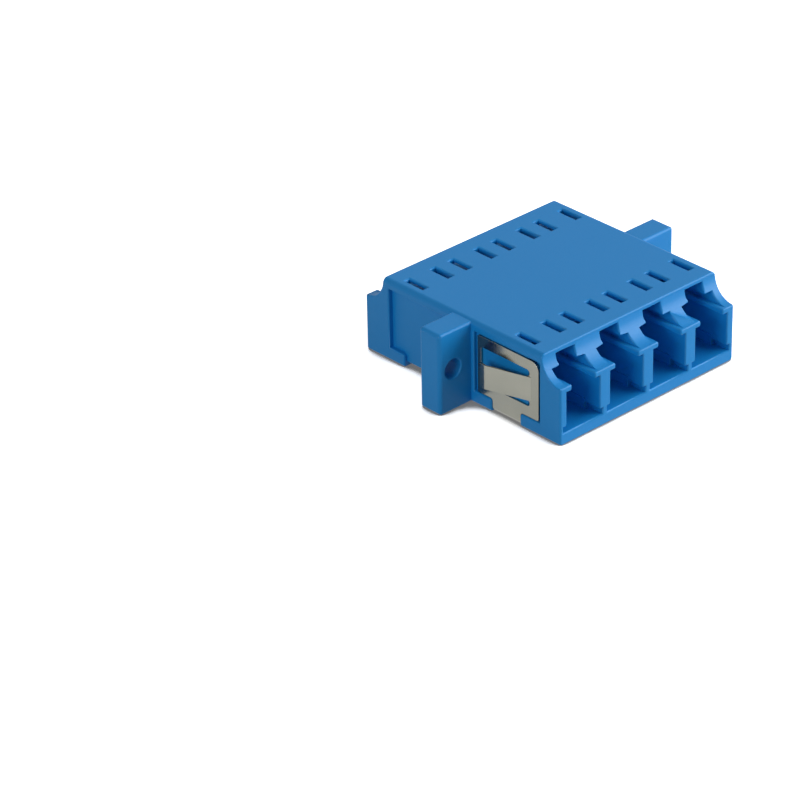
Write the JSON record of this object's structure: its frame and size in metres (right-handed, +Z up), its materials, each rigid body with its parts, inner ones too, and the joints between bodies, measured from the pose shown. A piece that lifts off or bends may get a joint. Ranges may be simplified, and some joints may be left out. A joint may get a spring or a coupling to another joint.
{
  "type": "fibre optic adapter",
  "caption": "Flanged adapter block that joins LC fibre plugs end to end, with stepped ports in both ends, latch windows in the roof and a folded panel spring clip.",
  "frame": {"origin": "bottom centre of the housing, on its underside midway between the ears and midway along the mating axis", "axes": "+X along the row of ports and through both flange ears, Y along the mating axis with the spring clip on the front (-Y) half, +Z up through the roof with the latch windows"},
  "size_m": [0.0342, 0.0286, 0.0094],
  "materials": {
    "housing_plastic": "satin moulded blue PBT",
    "clip_steel": "bright rolled stainless spring steel",
    "holder_plastic": "satin moulded blue PBT",
    "sleeve_ceramic": "polished zirconia ceramic"
  },
  "bodies": {
    "root": {"housing": "housing_plastic", "spring_clip": "clip_steel", "sleeve_holder_front_1": "holder_plastic", "sleeve_holder_front_2": "holder_plastic", "sleeve_holder_front_3": "holder_plastic", "sleeve_holder_front_4": "holder_plastic", "sleeve_holder_rear_1": "holder_plastic", "sleeve_holder_rear_2": "holder_plastic", "sleeve_holder_rear_3": "holder_plastic", "sleeve_holder_rear_4": "holder_plastic", "split_sleeve_1": "sleeve_ceramic", "split_sleeve_2": "sleeve_ceramic", "split_sleeve_3": "sleeve_ceramic", "split_sleeve_4": "sleeve_ceramic"}
  },
  "joints": []
}
